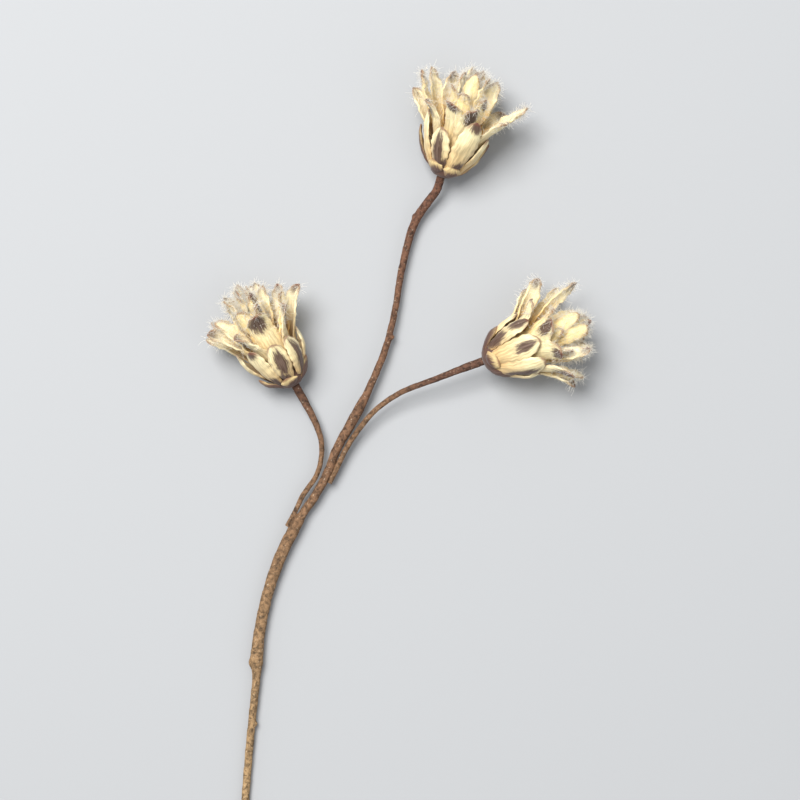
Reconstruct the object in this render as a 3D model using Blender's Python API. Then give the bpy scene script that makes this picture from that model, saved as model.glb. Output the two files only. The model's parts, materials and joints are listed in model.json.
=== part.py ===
"""King protea spray: three flower heads on one branched stem, lying on a flat surface.

Metres, +Z up.  Seen from above, +Y runs from the cut end of the stem towards the top flower.
The origin is on the surface, at the middle of the spray's length and width.

Each head is built about its own axis, on an empty: local X to the right of the axis as seen from
above, local Y towards the surface below, local Z from the stem out through the flower.  A bract is
given by the place of its tip: its bearing about the axis (0 right, 90 uppermost, 180 left, 270
underneath), its distance from the axis, and its height above the stem joint.
"""

import math

import bpy
from mathutils import Euler, Vector

MM = 0.001
GAP = 0.3  # clearance between neighbouring pieces, mm

# ---------------------------------------------------------------- stem, mm
# Route points: X, Y, Z of the centre and the radius there.
MAIN_STEM = (
    (-86.9, -213.6, 2.1, 2.1),
    (-85.9, -190.0, 2.4, 2.05),
    (-83.1, -157.0, 3.0, 2.05),
    (-79.9, -125.0, 3.7, 2.15),
    (-79.7, -116.0, 4.1, 3.45),
    (-78.3, -101.0, 4.2, 3.1),
    (-74.1, -80.0, 4.4, 3.0),
    (-66.8, -58.0, 4.8, 3.2),
    (-57.0, -38.0, 5.2, 3.1),
    (-54.2, -33.5, 5.3, 2.3),
    (-47.0, -23.0, 5.6, 2.3),
    (-40.4, -11.0, 6.0, 2.3),
    (-34.9, 3.0, 6.4, 2.35),
    (-28.8, 14.0, 6.7, 2.6),
    (-22.7, 25.0, 6.8, 2.7),
    (-17.2, 36.0, 6.7, 2.0),
    (-8.1, 58.0, 6.2, 1.8),
    (-2.6, 80.0, 5.7, 1.65),
    (1.0, 102.0, 5.4, 1.8),
    (6.5, 124.0, 5.6, 2.1),
    (12.0, 135.2, 6.2, 2.3),
)
LEFT_BRANCH = (
    (-58.0, -31.6, 5.6, 1.3),
    (-53.6, -22.6, 5.6, 1.4),
    (-46.4, -12.0, 5.9, 1.35),
    (-43.6, -2.0, 6.1, 1.35),
    (-43.7, 8.0, 6.1, 1.45),
    (-47.0, 18.0, 6.2, 1.75),
    (-51.4, 26.6, 6.6, 2.0),
)
RIGHT_BRANCH = (
    (-35.4, -8.6, 6.2, 1.45),
    (-30.0, 2.6, 7.0, 1.45),
    (-24.0, 12.0, 7.8, 1.45),
    (-13.5, 24.5, 9.6, 1.45),
    (1.0, 34.5, 12.2, 1.5),
    (20.5, 42.0, 15.2, 1.65),
    (33.0, 46.9, 16.6, 1.95),
)
STEM_END_RUN = 9.0  # straight run of the stem into a head, mm
STEM_END_RADIUS = 2.2
POINTS_PER_SPAN = 4
TUBE_SIDES_LEVEL = 2

# ---------------------------------------------------------------- heads, mm and degrees
HEADS = {
    # place of the stem joint, heading of the axis from +X, rise of the axis above the surface
    "top": {"joint": (23.0, 154.0, 11.3), "heading": 70.0, "rise": 16.0},
    "left": {"joint": (-58.3, 39.0, 9.2), "heading": 119.4, "rise": 16.0},
    "right": {"joint": (46.2, 51.7, 17.9), "heading": 20.0, "rise": 5.0},
}

# Receptacle: outline of the turned cup and the boss on it, radius and height.
RECEPTACLE = ((2.6, 0.0), (5.6, 0.8), (8.0, 2.8), (9.2, 5.4), (9.2, 7.4), (6.6, 8.2), (5.4, 10.0), (5.2, 12.0))
TURNED_SIDES = 14

# Hubs of the three inner whorls, stacked on the boss: radius, lowest and highest.
HUBS = {
    "inner": (5.0, 12.3, 17.0),
    "upper": (4.2, 17.3, 22.0),
    "centre": (3.2, 22.3, 27.0),
}

# How the bracts of each ring are made: base radius and height, angle from the axis at the base and
# at the tip, half width, thickness, depth of the boat shape.
RINGS = {
    "sepal": {"base": (7.6, 4.4), "angles": (50, 15), "half": 3.4, "thick": 1.3, "boat": 0.9},
    "outer": {"base": (9.1, 7.9), "angles": (32, 6), "half": 4.9, "thick": 1.1, "boat": 1.2},
    "flared": {"base": (7.3, 8.7), "angles": (28, 56), "half": 4.6, "thick": 1.1, "boat": 1.5},
    "inner": {"base": (3.9, 13.4), "angles": (34, 34), "half": 4.0, "thick": 1.1, "boat": 1.5},
    "upper": {"base": (3.2, 18.4), "angles": (24, 12), "half": 3.9, "thick": 1.1, "boat": 1.4},
    "centre": {"base": (2.2, 23.4), "angles": (14, -10), "half": 3.2, "thick": 1.0, "boat": 1.0},
}
BEND = 0.38  # reach of the profile's handles, as a share of its length

# Tips of each ring in order round the axis: bearing, distance from the axis, height, and where it
# differs the half width.  The bases are evenly spaced.
TIPS = {
    "top": {
        "sepal": ((2, 19.0, 25.0), (62, 14.5, 11.0), (122, 13.0, 10.0), (180, 20.3, 23.6), (260, 13.0, 12.0)),
        "outer": (
            (20, 19.0, 29.0), (64, 20.0, 37.0), (116, 18.0, 28.0), (164, 19.6, 34.0),
            (212, 20.0, 31.0), (264, 17.5, 29.0), (318, 20.0, 31.0),
        ),
        "flared": (
            (28, 28.5, 41.5), (74, 22.0, 43.0), (112, 23.0, 42.5), (149, 25.5, 38.5),
            (186, 31.0, 40.5), (236, 26.0, 41.5), (280, 24.0, 41.5), (326, 27.0, 41.5),
        ),
        "inner": (
            (356, 32.5, 51.0), (58, 18.0, 50.0), (102, 16.0, 49.0), (132, 17.0, 51.0),
            (170, 30.0, 52.0), (205, 28.0, 53.0), (256, 20.0, 50.0), (312, 21.0, 52.0),
        ),
        "upper": (
            (352, 12.0, 59.0), (40, 10.0, 60.0), (96, 9.0, 60.0), (132, 11.0, 59.0),
            (172, 12.5, 57.0), (232, 12.0, 57.0), (300, 12.0, 58.0),
        ),
        "centre": ((18, 4.0, 61.5), (90, 4.0, 61.0), (162, 4.0, 62.5), (234, 4.0, 61.0), (306, 4.0, 62.0)),
    },
    "left": {
        "sepal": ((14, 13.8, 13.3), (100, 13.0, 9.4), (172, 15.8, 13.0), (238, 14.0, 12.0), (306, 14.0, 12.0)),
        "outer": (
            (20, 18.0, 30.0), (58, 18.8, 36.0), (94, 17.5, 36.0), (132, 18.4, 31.5),
            (166, 20.4, 32.0), (232, 20.0, 31.0), (300, 19.0, 31.0),
        ),
        "flared": (
            (3, 30.0, 48.5), (42, 25.0, 45.0), (90, 19.0, 48.0), (134, 22.5, 42.0),
            (163, 29.0, 50.0), (192, 31.0, 45.0), (240, 25.0, 43.0), (306, 25.0, 43.0),
        ),
        "inner": (
            (22, 21.5, 51.0), (72, 15.0, 53.0), (118, 15.0, 54.0), (158, 22.0, 54.0),
            (200, 25.0, 51.0), (240, 19.0, 54.0), (290, 16.0, 57.0), (338, 21.0, 52.5),
        ),
        "upper": (
            (10, 12.0, 58.0), (66, 9.0, 59.0), (118, 8.5, 60.0), (166, 11.5, 61.0),
            (216, 12.0, 60.0), (264, 11.0, 61.0), (316, 12.0, 59.0),
        ),
        "centre": ((54, 4.0, 61.0), (126, 4.0, 63.0), (198, 4.0, 62.0), (270, 4.0, 63.5), (342, 4.0, 61.0)),
    },
    "right": {
        "sepal": ((8, 15.0, 12.6), (74, 14.4, 10.0), (172, 15.5, 14.0), (240, 13.0, 12.0), (306, 13.0, 12.0)),
        "outer": (
            (14, 17.5, 27.0), (52, 20.0, 32.5, 5.2), (90, 18.0, 33.5, 5.6), (128, 20.0, 31.0, 4.2),
            (168, 18.0, 26.5), (218, 19.0, 29.0), (292, 18.0, 29.0),
        ),
        "flared": (
            (2, 31.0, 42.0), (26, 28.5, 44.0), (63, 23.5, 41.5, 5.0), (106, 21.5, 42.0, 5.0),
            (146, 27.0, 36.0), (186, 29.5, 35.5), (240, 24.5, 39.5), (304, 24.5, 40.0),
        ),
        "inner": (
            (348, 27.5, 49.0), (50, 18.0, 48.5), (92, 14.5, 46.5, 3.2), (136, 18.5, 46.5),
            (180, 32.5, 44.0), (212, 28.0, 52.5), (266, 18.0, 50.0), (318, 22.0, 52.0),
        ),
        "upper": (
            (352, 13.0, 59.0), (36, 17.0, 57.5), (76, 9.0, 60.5, 4.6), (116, 13.5, 58.0),
            (166, 24.0, 62.0), (236, 12.0, 58.0), (300, 12.0, 58.0),
        ),
        "centre": ((24, 4.0, 60.0), (96, 4.5, 63.5), (168, 4.0, 61.0), (240, 4.0, 62.0), (312, 4.0, 61.0)),
    },
}
JOINED_RINGS = ("inner", "upper", "centre")  # whorls that are one solid with their hub
SINGLE_RINGS = ("outer", "flared")  # rings whose bracts are each a solid of their own

# ---------------------------------------------------------------- bract form
STATIONS = (0.0, 0.26, 0.54, 0.82, 1.0)
# Once round a cross-section: share of the half width, and 0 on the outer face to 1 on the inner.
SECTION = ((-1, 0.5), (-0.42, 0), (0.42, 0), (1, 0.5), (0.42, 1), (-0.42, 1))
WIDEST = 0.52  # where along its length a bract is widest
BASE_SHARE = 0.50  # width at the base, as a share of the widest
TIP_SHARE = 0.24

MATERIALS = {
    "stem": ((0.20, 0.125, 0.072), 0.85),
    "receptacle": ((0.16, 0.085, 0.065), 0.70),
    "bract": ((0.70, 0.58, 0.33), 0.75),
    "petal": ((0.86, 0.74, 0.42), 0.75),
}
RING_MATERIAL = {"outer": "bract", "flared": "bract", "inner": "petal", "upper": "petal", "centre": "petal"}


def clear_scene():
    for obj in list(bpy.data.objects):
        bpy.data.objects.remove(obj)


def make_materials():
    made = {}
    for name, (colour, roughness) in MATERIALS.items():
        material = bpy.data.materials.new(name)
        material.use_nodes = True
        shader = material.node_tree.nodes["Principled BSDF"]
        shader.inputs["Base Color"].default_value = (*colour, 1.0)
        shader.inputs["Roughness"].default_value = roughness
        shader.inputs["Metallic"].default_value = 0.0
        made[name] = material
    return made


def smooth_route(points, per_span):
    """Points on a Catmull-Rom curve through the route's own points, each X, Y, Z and radius."""
    ends = [points[0], *points, points[-1]]
    found = []
    for a, b, c, d in zip(ends, ends[1:], ends[2:], ends[3:]):
        for step in range(per_span):
            t = step / per_span
            found.append(
                tuple(
                    0.5 * (2 * q + (r - p) * t + (2 * p - 5 * q + 4 * r - s) * t**2 + (3 * q - p - 3 * r + s) * t**3)
                    for p, q, r, s in zip(a, b, c, d)
                )
            )
    return [*found, points[-1]]


def tube(name, route, material):
    """A round stem that follows a route, with closed ends."""
    curve = bpy.data.curves.new(name, "CURVE")
    curve.dimensions = "3D"
    curve.bevel_depth = MM
    curve.bevel_resolution = TUBE_SIDES_LEVEL
    curve.use_fill_caps = True
    places = smooth_route(route, POINTS_PER_SPAN)
    spline = curve.splines.new("POLY")
    spline.points.add(len(places) - 1)
    for point, (x, y, z, radius) in zip(spline.points, places):
        point.co = (x * MM, y * MM, z * MM, 1.0)
        point.radius = radius
    curve.materials.append(material)
    obj = bpy.data.objects.new(name, curve)
    bpy.context.scene.collection.objects.link(obj)
    return obj


def head_axis(head):
    heading, rise = math.radians(head["heading"]), math.radians(head["rise"])
    return Vector((math.cos(heading) * math.cos(rise), math.sin(heading) * math.cos(rise), math.sin(rise)))


def head_empty(name, head):
    """An empty at the stem joint, turned so that its Z is the head's axis and its Y faces down."""
    axis = head_axis(head)
    heading = math.radians(head["heading"])
    right = Vector((math.sin(heading), -math.cos(heading), 0.0))
    empty = bpy.data.objects.new(f"{name}_head_axis", None)
    bpy.context.scene.collection.objects.link(empty)
    turn = Euler((math.radians(90.0 - head["rise"]) * -1.0, 0.0, heading - math.pi / 2))
    empty.location = Vector(head["joint"]) * MM
    empty.rotation_euler = turn
    assert (turn.to_matrix() @ Vector((0, 0, 1)) - axis).length < 1e-4
    assert (turn.to_matrix() @ Vector((1, 0, 0)) - right).length < 1e-4
    return empty


def stem_route(points, head):
    """A route with its last straight run into a head added to it."""
    joint, axis = Vector(head["joint"]), head_axis(head)
    start, end = joint - axis * STEM_END_RUN, joint - axis * GAP
    return (*points, (*start, STEM_END_RADIUS), (*end, STEM_END_RADIUS))


def profile(base, tip, angles):
    """A cubic in the plane of the axis: its point and slope at t, for t from the base to the tip."""
    start, end = Vector(base), Vector(tip)
    reach = (end - start).length * BEND
    first, last = (math.radians(a) for a in angles)
    handle_a = start + reach * Vector((math.sin(first), math.cos(first)))
    handle_b = end - reach * Vector((math.sin(last), math.cos(last)))

    def at(t):
        m = 1 - t
        place = m**3 * start + 3 * m**2 * t * handle_a + 3 * m * t**2 * handle_b + t**3 * end
        slope = 3 * m**2 * (handle_a - start) + 6 * m * t * (handle_b - handle_a) + 3 * t**2 * (end - handle_b)
        return place, slope.normalized()

    return at


def width_share(t):
    """Half width at t, as a share of the widest."""
    if t < WIDEST:
        return BASE_SHARE + (1 - BASE_SHARE) * math.sin(math.pi / 2 * t / WIDEST)
    falling = math.cos(math.pi / 2 * ((t - WIDEST) / (1 - WIDEST)) ** 1.6)
    return TIP_SHARE + (1 - TIP_SHARE) * max(falling, 0.0)


def base_bearings(tips):
    """Evenly spaced bearings, as near as they can be to those of the tips."""
    step = 360 / len(tips)
    leads = [(tip[0] - tips[0][0]) % 360 - step * i for i, tip in enumerate(tips)]
    first = tips[0][0] + sum(leads) / len(leads)
    return [first + step * i for i in range(len(tips))]


def bract_mesh(name, ring, tip, base_bearing):
    """One bract as a closed mesh in its head's frame: loops of SECTION bridged from base to tip."""
    bearing, distance, height, *wider = tip
    swing = (bearing - base_bearing + 180) % 360 - 180
    half = wider[0] if wider else ring["half"]
    at = profile(ring["base"], (distance, height), ring["angles"])
    axis = Vector((0.0, 0.0, 1.0))
    points = []
    for t in STATIONS:
        turn = math.radians(-base_bearing - swing * t)
        outwards = Vector((math.cos(turn), math.sin(turn), 0.0))
        across = Vector((-math.sin(turn), math.cos(turn), 0.0))
        (radius, rise), slope = at(t)
        inwards = -slope.y * outwards + slope.x * axis
        centre = radius * outwards + rise * axis
        share = width_share(t)
        for side, face in SECTION:
            lift = ring["boat"] * share * side**2 + face * ring["thick"] * (0.55 + 0.45 * share)
            points.append((centre + half * share * side * across + lift * inwards) * MM)
    n = len(SECTION)
    faces = [tuple(reversed(range(n))), tuple(range(len(points) - n, len(points)))]
    for loop in range(len(STATIONS) - 1):
        for i in range(n):
            a, b = loop * n + i, loop * n + (i + 1) % n
            faces.append((a, b, b + n, a + n))
    mesh = bpy.data.meshes.new(name)
    mesh.from_pydata(points, [], faces)
    mesh.update()
    return mesh


def turned_mesh(name, outline):
    """A solid turned about the head's axis: outline runs from its lowest ring to its highest."""
    points = []
    for radius, height in outline:
        for i in range(TURNED_SIDES):
            turn = 2 * math.pi * i / TURNED_SIDES
            points.append(Vector((radius * math.cos(turn), radius * math.sin(turn), height)) * MM)
    n = TURNED_SIDES
    faces = [tuple(reversed(range(n))), tuple(range(len(points) - n, len(points)))]
    for loop in range(len(outline) - 1):
        for i in range(n):
            a, b = loop * n + i, loop * n + (i + 1) % n
            faces.append((a, b, b + n, a + n))
    mesh = bpy.data.meshes.new(name)
    mesh.from_pydata(points, [], faces)
    mesh.update()
    return mesh


def place(mesh, parent, material, collection=None):
    obj = bpy.data.objects.new(mesh.name, mesh)
    (collection or bpy.context.scene.collection).objects.link(obj)
    obj.parent = parent
    mesh.materials.append(material)
    return obj


def joined(core, ring, tips, parent, material):
    """The core with a ring of bracts made one solid with it by a Boolean union."""
    members = bpy.data.collections.new(core.name + "_members")
    bpy.context.scene.collection.children.link(members)
    members.hide_render = True
    for i, (tip, base) in enumerate(zip(tips, base_bearings(tips))):
        mesh = bract_mesh(f"{core.name}_member_{i + 1}", ring, tip, base)
        member = place(mesh, parent, material, members)
        member.hide_render = True
        member.display_type = "WIRE"
    union = core.modifiers.new("join", "BOOLEAN")
    union.operation = "UNION"
    union.operand_type = "COLLECTION"
    union.collection = members
    union.solver = "EXACT"
    union.use_self = True


def build_head(name, head, materials):
    empty = head_empty(name, head)
    tips = TIPS[name]
    cup = place(turned_mesh(f"{name}_calyx", RECEPTACLE), empty, materials["receptacle"])
    joined(cup, RINGS["sepal"], tips["sepal"], empty, materials["receptacle"])
    for ring in SINGLE_RINGS:
        for i, (tip, base) in enumerate(zip(tips[ring], base_bearings(tips[ring]))):
            mesh = bract_mesh(f"{name}_{ring}_bract_{i + 1}", RINGS[ring], tip, base)
            place(mesh, empty, materials[RING_MATERIAL[ring]])
    for ring in JOINED_RINGS:
        radius, low, high = HUBS[ring]
        hub = turned_mesh(f"{name}_{ring}_petals", ((radius, low), (radius, high)))
        core = place(hub, empty, materials[RING_MATERIAL[ring]])
        joined(core, RINGS[ring], tips[ring], empty, materials[RING_MATERIAL[ring]])


def main():
    clear_scene()
    materials = make_materials()
    for name, head in HEADS.items():
        build_head(name, head, materials)
    tube("main_stem", stem_route(MAIN_STEM, HEADS["top"]), materials["stem"])
    tube("left_branch", stem_route(LEFT_BRANCH, HEADS["left"]), materials["stem"])
    tube("right_branch", stem_route(RIGHT_BRANCH, HEADS["right"]), materials["stem"])


main()
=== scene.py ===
"""King protea spray: the looks of its bark-covered stem and its three dried flower heads."""

import json
import math

import bpy
import numpy as np
from mathutils import Matrix, Vector, noise

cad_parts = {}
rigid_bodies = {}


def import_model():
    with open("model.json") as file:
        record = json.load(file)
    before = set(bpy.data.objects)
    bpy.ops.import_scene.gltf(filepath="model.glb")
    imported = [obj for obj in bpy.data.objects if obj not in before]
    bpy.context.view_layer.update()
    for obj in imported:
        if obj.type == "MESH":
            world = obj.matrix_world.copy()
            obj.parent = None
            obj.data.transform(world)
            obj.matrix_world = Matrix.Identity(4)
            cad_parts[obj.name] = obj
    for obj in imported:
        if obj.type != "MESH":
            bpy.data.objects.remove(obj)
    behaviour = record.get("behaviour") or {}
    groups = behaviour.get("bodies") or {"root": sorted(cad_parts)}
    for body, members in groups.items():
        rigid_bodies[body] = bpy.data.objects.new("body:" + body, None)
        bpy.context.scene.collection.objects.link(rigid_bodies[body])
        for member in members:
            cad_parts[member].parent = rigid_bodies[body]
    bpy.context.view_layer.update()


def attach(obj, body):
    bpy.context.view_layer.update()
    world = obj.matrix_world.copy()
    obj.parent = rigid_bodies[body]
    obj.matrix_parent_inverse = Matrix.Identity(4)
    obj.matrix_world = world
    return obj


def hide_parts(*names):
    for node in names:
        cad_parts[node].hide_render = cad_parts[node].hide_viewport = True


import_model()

MM = 0.001

# ============================================================ the woody stem
# A thin woody shoot, round and slightly crooked.  Its lower part is bound in crepe paper tape,
# wound on in a long spiral, which also holds the two side shoots.  It was cut straight across.

# Route: X, Y, Z of the centre and the radius there, in mm, from the cut end to the top flower.
MAIN_ROUTE = (
    (-86.9, -213.6, 2.1, 2.1),
    (-85.9, -190.0, 2.4, 2.05),
    (-83.1, -157.0, 3.0, 2.05),
    (-79.9, -125.0, 3.7, 2.15),
    (-79.7, -116.0, 4.1, 3.45),
    (-78.3, -101.0, 4.2, 3.1),
    (-74.1, -80.0, 4.4, 3.0),
    (-66.8, -58.0, 4.8, 3.2),
    (-57.0, -38.0, 5.2, 3.1),
    (-54.2, -33.5, 5.3, 2.3),
    (-47.0, -23.0, 5.6, 2.3),
    (-40.4, -11.0, 6.0, 2.3),
    (-34.9, 3.0, 6.4, 2.35),
    (-28.8, 14.0, 6.7, 2.6),
    (-22.7, 25.0, 6.8, 2.7),
    (-17.2, 36.0, 6.7, 2.0),
    (-8.1, 58.0, 6.2, 1.8),
    (-2.6, 80.0, 5.7, 1.65),
    (1.0, 102.0, 5.4, 1.8),
    (6.5, 124.0, 5.6, 2.1),
    (12.0, 135.2, 6.2, 2.3),
)
# Swellings on the main stem: where, how wide and how high, in mm.
KNUCKLES = (
    ((-83.4, -116.0, 4.6), 2.2, 1.1),
    ((-80.0, -150.5, 3.4), 1.1, 1.3),
    ((-3.4, 64.7, 6.4), 1.0, 2.6),
    ((6.9, 133.0, 6.2), 1.3, 1.2),
    ((-56.5, -36.5, 6.5), 2.5, 0.7),
)

# Where each head joins its stem, the heading of its axis from +X, and its rise above the surface.
HEADS = {
    "top": {"joint": (23.0, 154.0, 11.3), "heading": 70.0, "rise": 16.0},
    "left": {"joint": (-58.3, 39.0, 9.2), "heading": 119.4, "rise": 16.0},
    "right": {"joint": (46.2, 51.7, 17.9), "heading": 20.0, "rise": 5.0},
}
STEM_END_RUN = 9.0
STEM_END_RADIUS = 2.2
SEAT = 0.5  # how far a stem reaches into its head


def axis_of(head):
    heading, rise = math.radians(head["heading"]), math.radians(head["rise"])
    flat = math.cos(rise)
    return Vector((math.cos(heading) * flat, math.sin(heading) * flat, math.sin(rise)))


def into_head(route, head):
    """A stem's route with its last straight run into a head."""
    joint, axis = Vector(head["joint"]), axis_of(head)
    run = (joint - axis * STEM_END_RUN, joint + axis * SEAT)
    return (*route, *((*place, STEM_END_RADIUS) for place in run))


def rounded_route(points, per_span=8):
    """Points on a Catmull-Rom curve through the route's points."""
    ends = [points[0], *points, points[-1]]
    found = []
    for a, b, c, d in zip(ends, ends[1:], ends[2:], ends[3:]):
        for step in range(per_span):
            t = step / per_span
            found.append(
                tuple(
                    q
                    + (r - p) * t / 2
                    + (2 * p - 5 * q + 4 * r - s) * t**2 / 2
                    + (3 * q - p - 3 * r + s) * t**3 / 2
                    for p, q, r, s in zip(a, b, c, d)
                )
            )
    return [*found, points[-1]]


def linear(hex_colour):
    """An sRGB hex colour as linear RGBA."""
    parts = (int(hex_colour[i : i + 2], 16) / 255 for i in (1, 3, 5))
    return (*(p / 12.92 if p <= 0.04045 else ((p + 0.055) / 1.055) ** 2.4 for p in parts), 1.0)


def add(tree, kind, values=None, **settings):
    """Adds a node.  Settings are its own properties; values go to its inputs, a socket as a link."""
    made = tree.nodes.new(kind)
    for name, value in settings.items():
        setattr(made, name, value)
    for name, value in (values or {}).items():
        if isinstance(name, int):
            socket = made.inputs[name]
        else:
            socket = next(s for s in made.inputs if s.enabled and s.name == name)
        if isinstance(value, bpy.types.NodeSocket):
            tree.links.new(value, socket)
        else:
            socket.default_value = value
    return made


def tube_tree():
    """Geometry Nodes that sweep a round stem along a curve and wind tape on it."""
    tree = bpy.data.node_groups.new("bark_tube", "GeometryNodeTree")
    face = tree.interface
    face.new_socket("Geometry", in_out="INPUT", socket_type="NodeSocketGeometry")
    for name, kind, value in (
        ("Ring spacing", "NodeSocketFloat", 0.6 * MM),
        ("Sides", "NodeSocketInt", 28),
        ("Tape pitch", "NodeSocketFloat", 11.0 * MM),
        ("Tape edge", "NodeSocketFloat", 0.22 * MM),
        ("Bark depth", "NodeSocketFloat", 0.35 * MM),
        ("Bark grain", "NodeSocketFloat", 1 / (5.0 * MM)),
    ):
        face.new_socket(name, in_out="INPUT", socket_type=kind).default_value = value
    face.new_socket("Material", in_out="INPUT", socket_type="NodeSocketMaterial")
    face.new_socket("Geometry", in_out="OUTPUT", socket_type="NodeSocketGeometry")
    given = add(tree, "NodeGroupInput").outputs
    even = add(tree, "GeometryNodeResampleCurve", mode="LENGTH")
    tree.links.new(given["Geometry"], even.inputs["Curve"])
    tree.links.new(given["Ring spacing"], even.inputs["Length"])
    along = add(tree, "GeometryNodeSplineParameter").outputs["Length"]
    marked = add(
        tree, "GeometryNodeStoreNamedAttribute",
        {"Geometry": even.outputs[0], "Name": "along", "Value": along}, data_type="FLOAT", domain="POINT",
    )
    circle = add(tree, "GeometryNodeCurvePrimitiveCircle", {"Resolution": given["Sides"], "Radius": 1.0})
    index = add(tree, "GeometryNodeInputIndex").outputs[0]
    turn = add(tree, "ShaderNodeMath", {0: index, 1: given["Sides"]}, operation="DIVIDE").outputs[0]
    turned = add(
        tree, "GeometryNodeStoreNamedAttribute",
        {"Geometry": circle.outputs[0], "Name": "turn", "Value": turn}, data_type="FLOAT", domain="POINT",
    )
    radius = add(tree, "GeometryNodeInputRadius").outputs[0]
    swept = add(
        tree, "GeometryNodeCurveToMesh",
        {"Curve": marked.outputs[0], "Profile Curve": turned.outputs[0], "Scale": radius, "Fill Caps": True},
    )
    along = add(tree, "GeometryNodeInputNamedAttribute", {"Name": "along"}, data_type="FLOAT").outputs[0]
    turn = add(tree, "GeometryNodeInputNamedAttribute", {"Name": "turn"}, data_type="FLOAT").outputs[0]
    winds = add(tree, "ShaderNodeMath", {0: along, 1: given["Tape pitch"]}, operation="DIVIDE").outputs[0]
    spiral = add(tree, "ShaderNodeMath", {0: winds, 1: turn}, operation="ADD").outputs[0]
    lap = add(tree, "ShaderNodeMath", {0: spiral}, operation="FRACT").outputs[0]
    lapped = add(
        tree, "GeometryNodeStoreNamedAttribute",
        {"Geometry": swept.outputs[0], "Name": "lap", "Value": lap}, data_type="FLOAT", domain="POINT",
    )
    bark = add(
        tree, "ShaderNodeTexNoise",
        {"Scale": given["Bark grain"], "Detail": 4.0, "Roughness": 0.6}, noise_dimensions="3D",
    ).outputs[0]
    uneven = add(tree, "ShaderNodeMath", {0: bark, 1: 0.5}, operation="SUBTRACT").outputs[0]
    rough = add(tree, "ShaderNodeMath", {0: uneven, 1: given["Bark depth"]}, operation="MULTIPLY").outputs[0]
    raised = add(
        tree, "ShaderNodeMath", {0: lap, 1: given["Tape edge"], 2: rough}, operation="MULTIPLY_ADD"
    ).outputs[0]
    normal = add(tree, "GeometryNodeInputNormal").outputs["Normal"]
    offset = add(tree, "ShaderNodeVectorMath", {0: normal, "Scale": raised}, operation="SCALE").outputs[0]
    wound = add(tree, "GeometryNodeSetPosition", {"Geometry": lapped.outputs[0], "Offset": offset})
    smooth = add(tree, "GeometryNodeSetShadeSmooth", {"Geometry": wound.outputs[0]})
    real = add(tree, "GeometryNodeRealizeInstances", {"Geometry": smooth.outputs[0]})
    coated = add(
        tree, "GeometryNodeSetMaterial", {"Geometry": real.outputs[0], "Material": given["Material"]}
    )
    out = add(tree, "NodeGroupOutput")
    tree.links.new(coated.outputs[0], out.inputs[0])
    return tree


def made_plain(obj, tree, inputs):
    """Runs a node tree on an object and returns its result as a plain mesh object of that name."""
    modifier = obj.modifiers.new("made", "NODES")
    modifier.node_group = tree
    for socket in tree.interface.items_tree:
        if socket.in_out == "INPUT" and socket.name in inputs:
            modifier[socket.identifier] = inputs[socket.name]
    bpy.context.view_layer.update()
    graph = bpy.context.evaluated_depsgraph_get()
    mesh = bpy.data.meshes.new_from_object(obj.evaluated_get(graph), depsgraph=graph)
    name = obj.name
    obj.modifiers.remove(modifier)
    bpy.data.objects.remove(obj)
    plain = bpy.data.objects.new(name, mesh)
    bpy.context.scene.collection.objects.link(plain)
    return plain


# Weathered bark under crepe paper tape: matt, grey-brown, with dark cracks along the shoot, the
# darker lapped edge of each turn of tape, and small pale flecks.  Redder towards the top flower.
def bark(name, low, middle, high, length):
    material = bpy.data.materials.new(name)
    material.use_nodes = True
    tree = material.node_tree
    shader = tree.nodes["Principled BSDF"]
    shader.inputs["Roughness"].default_value = 0.82
    shader.inputs["Specular IOR Level"].default_value = 0.3
    along = add(tree, "ShaderNodeAttribute", attribute_name="along").outputs["Fac"]
    share = add(tree, "ShaderNodeMath", {0: along, 1: length * MM}, operation="DIVIDE").outputs[0]
    tint = add(tree, "ShaderNodeValToRGB", {"Fac": share})
    tint.color_ramp.elements[0].color = linear(low)
    tint.color_ramp.elements[1].color = linear(high)
    tint.color_ramp.elements.new(0.5).color = linear(middle)
    place = add(tree, "ShaderNodeTexCoord").outputs["Object"]
    # Cracks are about 1.5 mm apart, and four times as long as they are wide.
    grain = add(
        tree, "ShaderNodeTexNoise",
        {"Vector": place, "Scale": 1 / (2.2 * MM), "Detail": 6.0, "Roughness": 0.65, "Distortion": 0.6},
    ).outputs[0]
    deep = add(tree, "ShaderNodeMapRange", {"Value": grain, 1: 0.36, 2: 0.58, 3: 0.25, 4: 1.12}).outputs[0]
    cracked = add(
        tree, "ShaderNodeMix",
        {"Factor": 1.0, 6: tint.outputs[0], 7: deep}, data_type="RGBA", blend_type="MULTIPLY",
    ).outputs[2]
    lap = add(tree, "ShaderNodeAttribute", attribute_name="lap").outputs["Fac"]
    edge = add(tree, "ShaderNodeMapRange", {"Value": lap, 1: 0.0, 2: 0.14, 3: 0.62, 4: 1.0}).outputs[0]
    taped = add(
        tree, "ShaderNodeMix", {"Factor": 0.8, 6: cracked, 7: edge}, data_type="RGBA", blend_type="MULTIPLY"
    ).outputs[2]
    flecks = add(
        tree, "ShaderNodeTexNoise", {"Vector": place, "Scale": 1 / (1.1 * MM), "Detail": 2.0}
    ).outputs[0]
    fleck = add(tree, "ShaderNodeMapRange", {"Value": flecks, 1: 0.66, 2: 0.74, 3: 0.0, 4: 0.55}).outputs[0]
    flecked = add(
        tree, "ShaderNodeMix", {"Factor": fleck, 6: taped, 7: linear("#cdbfa6")}, data_type="RGBA"
    ).outputs[2]
    tree.links.new(flecked, shader.inputs["Base Color"])
    bump = add(tree, "ShaderNodeBump", {"Height": grain, "Strength": 0.7, "Distance": 0.5 * MM}).outputs[0]
    tree.links.new(bump, shader.inputs["Normal"])
    return material


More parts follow.
